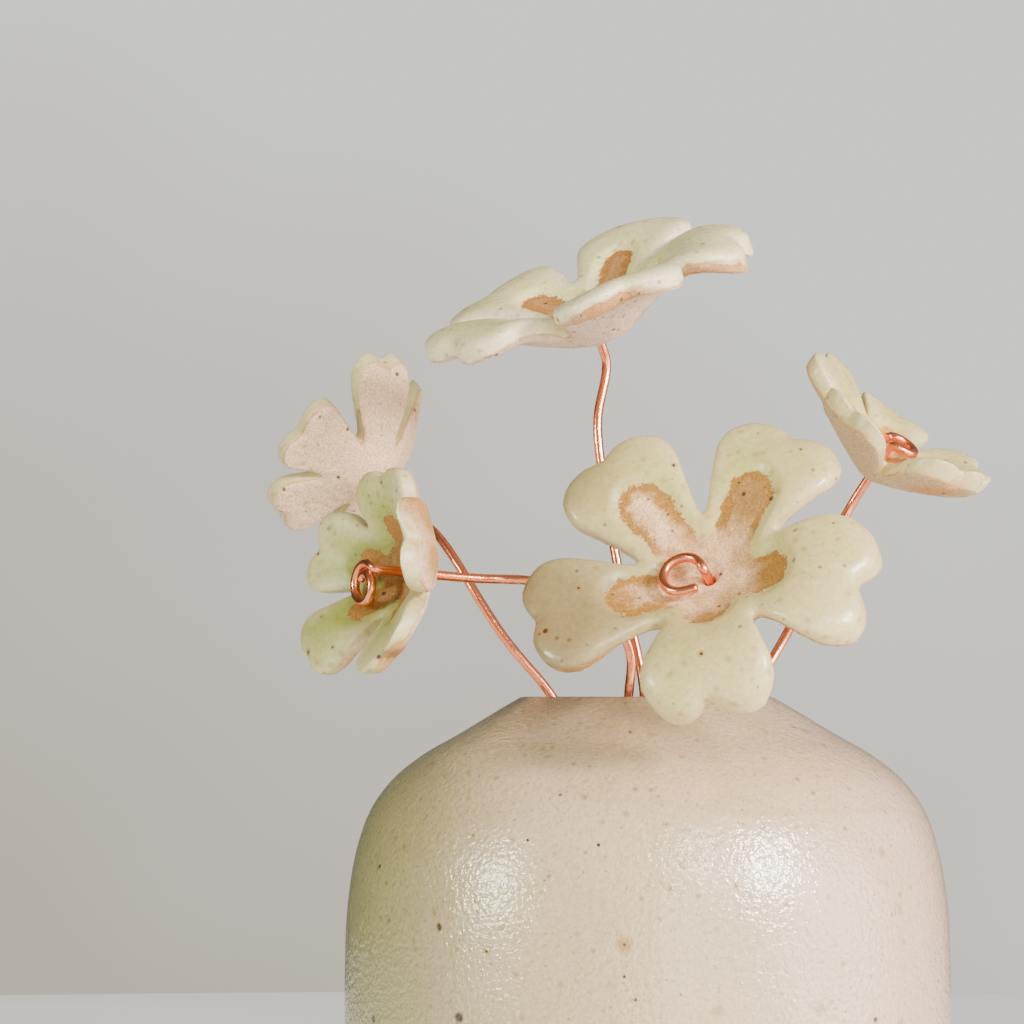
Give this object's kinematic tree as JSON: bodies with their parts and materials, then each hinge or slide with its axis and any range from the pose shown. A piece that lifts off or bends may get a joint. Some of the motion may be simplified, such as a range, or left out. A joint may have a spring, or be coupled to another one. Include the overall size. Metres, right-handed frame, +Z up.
{
  "type": "ceramic bud vase with wired flowers",
  "caption": "Small glazed stoneware bud vase whose narrow mouth holds ceramic flowers turning on curled copper wire stems that lift out.",
  "frame": {"origin": "centre of the flat base, on the surface that the vase stands on", "axes": "+Z up along the vase axis, front towards -Y, +X to the right seen from the front"},
  "size_m": [0.089, 0.078, 0.1395],
  "materials": {
    "vase_glaze": "satin gloss speckled glaze",
    "flower_glaze": "satin celadon glaze over bare buff clay",
    "copper": "bright drawn copper wire"
  },
  "bodies": {
    "vase": {"vase_body": "vase_glaze"},
    "front_stem": {"stem_front": "copper"},
    "front_flower": {"flower_front": "flower_glaze"},
    "top_stem": {"stem_top": "copper"},
    "top_flower": {"flower_top": "flower_glaze"},
    "left_stem": {"stem_left": "copper"},
    "left_flower": {"flower_left": "flower_glaze"},
    "right_stem": {"stem_right": "copper"},
    "right_flower": {"flower_right": "flower_glaze"},
    "back_stem": {"stem_back": "copper"},
    "back_flower": {"flower_back": "flower_glaze"}
  },
  "joints": [
    {"name": "front_stem_lift", "type": "slide", "parent": "vase", "child": "front_stem", "axis": [-0.107, -0.3712, 0.9224], "range_m": [0, 0.06]},
    {"name": "top_stem_lift", "type": "slide", "parent": "vase", "child": "top_stem", "axis": [-0.0417, 0.373, 0.9269], "range_m": [0, 0.06]},
    {"name": "left_stem_lift", "type": "slide", "parent": "vase", "child": "left_stem", "axis": [0.053, -0.0815, 0.9953], "range_m": [0, 0.06]},
    {"name": "right_stem_lift", "type": "slide", "parent": "vase", "child": "right_stem", "axis": [0.5083, 0.006, 0.8612], "range_m": [0, 0.06]},
    {"name": "back_stem_lift", "type": "slide", "parent": "vase", "child": "back_stem", "axis": [-0.5513, -0.0195, 0.8341], "range_m": [0, 0.06]},
    {"name": "front_flower_turn", "type": "hinge", "parent": "front_stem", "child": "front_flower", "pos_m": [0.007, -0.027, 0.0934], "axis": [-0.3142, -0.7776, 0.5446], "continuous": true},
    {"name": "top_flower_turn", "type": "hinge", "parent": "top_stem", "child": "top_flower", "pos_m": [-0.0066, 0.013, 0.1264], "axis": [-0.2978, -0.3426, 0.891], "continuous": true},
    {"name": "left_flower_turn", "type": "hinge", "parent": "left_stem", "child": "left_flower", "pos_m": [-0.0279, -0.017, 0.0944], "axis": [-0.827, -0.5578, 0.0698], "continuous": true},
    {"name": "right_flower_turn", "type": "hinge", "parent": "right_stem", "child": "right_flower", "pos_m": [0.0284, 0.008, 0.1088], "axis": [0.5104, -0.3443, 0.788], "continuous": true},
    {"name": "back_flower_turn", "type": "hinge", "parent": "back_stem", "child": "back_flower", "pos_m": [-0.0351, 0.024, 0.1087], "axis": [-0.4785, 0.6124, 0.6293], "continuous": true}
  ]
}
